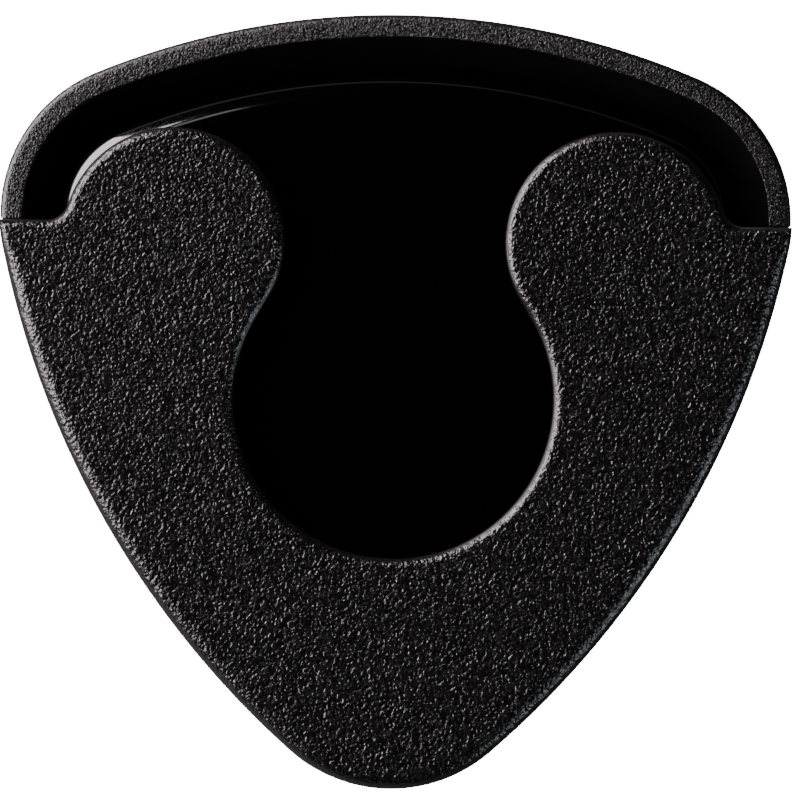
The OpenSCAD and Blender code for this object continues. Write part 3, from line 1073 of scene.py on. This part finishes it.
class MakeReleaseLiner(Operator):
    """Makes the paper liner with its finger tab"""

    bl_idname = "pick_holder.make_release_liner"
    bl_label = "Release liner"

    def execute(self, context):
        p, s = body_plan(), settings("pad")
        body = [q.point - s.inset * q.outward for q in whole_run(p)]
        middle = Vector((0, s.tab_end - s.tab_radius))
        outline = []
        for a, b in zip(body, body[1:] + body[:1]):
            inside_a, inside_b = (a - middle).length < s.tab_radius, (b - middle).length < s.tab_radius
            if a.y <= 0 or not inside_a:
                outline.append(a)
            if a.y > 0 and inside_a != inside_b:
                outline.append(self.crossing(a, b, middle, s.tab_radius))
                if inside_b:
                    start = heading(middle, outline[-1])
                    step = (math.pi - 2 * start) / TAB_STEPS
                    outline += [middle + s.tab_radius * towards(start + step * k) for k in range(1, TAB_STEPS)]
        skin, rows = Skin(), []
        chamfer = 0.15 * s.liner
        nexts = outline[1:] + outline[:1]
        for inset, height in ((chamfer, 0), (0, chamfer), (0, s.liner - chamfer), (chamfer, s.liner)):
            ring = []
            for before, q, after in zip(outline[-1:] + outline, outline, nexts):
                along = (after - before).normalized()
                ring.append(Vector((*(q - inset * Vector((along.y, -along.x))), height)))
            rows.append(skin.row(ring))
        skin.tube(rows, [0] * len(rows))
        liner = skin.build("liner_sheet", [finish("glassine")])
        finish_piece(liner, "liner", "release_liner")
        return {"FINISHED"}

    def crossing(self, a, b, middle, radius):
        """Where the line from a to b crosses the circle."""
        low, high = 0.0, 1.0
        inside_a = (a - middle).length < radius
        for _ in range(40):
            share = (low + high) / 2
            if ((a.lerp(b, share) - middle).length < radius) == inside_a:
                low = share
            else:
                high = share
        return a.lerp(b, low)


class MakeStudio(Operator):
    """Makes the floor, the lights and the camera"""

    bl_idname = "pick_holder.make_studio"
    bl_label = "Studio"

    def soft_light(self, name, location, aim, width, height, energy, tint):
        data = bpy.data.lights.new(name, "AREA")
        data.shape, data.size, data.size_y = "RECTANGLE", width, height
        data.energy, data.color = energy, tint
        lamp = new_object(name, data)
        lamp.location = location
        lamp.rotation_euler = (Vector(aim) - Vector(location)).to_track_quat("-Z", "Y").to_euler()

    def ground(self, s, f):
        """A pale floor and a dome that render as one even ground and that nothing reflects."""
        half, below = s.floor_span / 2, -0.02 * MM
        mesh = bpy.data.meshes.new("floor")
        corners = ((-half, -half), (half, -half), (half, half), (-half, half))
        mesh.from_pydata([(x, y, below) for x, y in corners], [], [(0, 1, 2, 3)])
        floor = new_object("floor", mesh)
        bowl = bmesh.new()
        bmesh.ops.create_icosphere(bowl, subdivisions=3, radius=s.backdrop_radius)
        bmesh.ops.reverse_faces(bowl, faces=bowl.faces)
        dome = bpy.data.meshes.new("backdrop")
        bowl.to_mesh(dome)
        bowl.free()
        backdrop = new_object("backdrop", dome)
        material, tree, shader = new_material("floor", {
            "Roughness": 0.9, "Emission Color": (1, 1, 1, 1), "Emission Strength": s.floor_glow,
        })
        cloud = noise(tree, object_position(tree, 6))
        vary(tree, shader, "Base Color", cloud, (0.3, tone(f.floor, 0.985)), (0.7, f.floor))
        for made in (floor, backdrop):
            made.data.materials.append(material)
            made.visible_glossy = made.visible_diffuse = False
        backdrop.visible_shadow = False

    def room(self, s):
        """A surround that is bright low down on the left and dark overhead and on the right."""
        world = bpy.data.worlds.new("Studio")
        world.use_nodes = True
        tree = world.node_tree
        aim = place(tree, "ShaderNodeSeparateXYZ", {"Vector": place(tree, "ShaderNodeTexCoord").outputs["Generated"]})
        half_x, half_z = (maths(tree, "MULTIPLY_ADD", aim.outputs[key], 0.5, 0.5) for key in ("X", "Z"))
        across = ramp(tree, half_x, (0.0, 1.0), (0.3, 0.6), (0.55, 0.3), (0.8, 0.1), (1.0, 0.1))
        upward = ramp(tree, half_z, (0.1, 0.6), (0.5, 1.0), (0.57, 0.8), (0.64, 0.04), (0.7, 0.01))
        glow = maths(tree, "MULTIPLY", maths(tree, "MULTIPLY", across, upward), s.surround)
        background = tree.nodes["Background"].inputs
        tree.links.new(glow, background["Strength"])
        background["Color"].default_value = (1, 0.97, 0.95, 1)
        return world

    def execute(self, context):
        s = settings("studio")
        self.ground(s, settings("finish"))
        context.scene.world = self.room(s)
        middle = (0, 0, 0.008)
        self.soft_light(
            "left_softbox", (-0.205, 0.085, 0.119), middle, 0.4, 0.18, s.side_power, (1, 0.95, 0.965),
        )
        self.soft_light("upper_strip", (-0.18, 0.32, 0.38), middle, 0.2, 0.05, s.strip_power, (1, 0.985, 0.97))
        self.soft_light("right_fill", (0.5, -0.3, 0.22), middle, 0.3, 0.3, s.fill_power, (0.9, 0.95, 1))
        lens = bpy.data.cameras.new("camera")
        lens.lens = lens.sensor_width * s.distance / s.view_width
        lens.clip_start, lens.clip_end = 0.01, 10
        camera = new_object("camera", lens)
        camera.location = (s.aim_x, s.aim_y, settings("cover").top + s.distance)
        camera.rotation_euler = (0, 0, s.roll)
        context.scene.camera = camera
        return {"FINISHED"}


OPERATORS = (
    MakeRearShell, MakeFrontCover, MakePressurePlate, MakeLeafSpring,
    MakeMountingTape, MakeReleaseLiner, MakeStudio,
)


class PickHolderPanel(Panel):
    bl_idname = "VIEW3D_PT_pick_holder"
    bl_label = "Pick Holder"
    bl_space_type = "VIEW_3D"
    bl_region_type = "UI"
    bl_category = "Pick Holder"

    def draw(self, context):
        for operator in OPERATORS:
            self.layout.operator(operator.bl_idname)
        for group in SETTINGS:
            box = self.layout.box()
            box.label(text=group.capitalize())
            for key in SETTINGS[group].__annotations__:
                box.prop(settings(group), key)


CLASSES = (*SETTINGS.values(), *OPERATORS, PickHolderPanel)


def register():
    for made in CLASSES:
        bpy.utils.register_class(made)
    for group, made in SETTINGS.items():
        setattr(bpy.types.Scene, "pick_holder_" + group, PointerProperty(type=made))


def unregister():
    for group in SETTINGS:
        delattr(bpy.types.Scene, "pick_holder_" + group)
    for made in reversed(CLASSES):
        bpy.utils.unregister_class(made)


def main():
    register()
    for operator in OPERATORS:
        getattr(bpy.ops.pick_holder, operator.bl_idname.split(".")[1])()


if __name__ == "__main__":
    main()
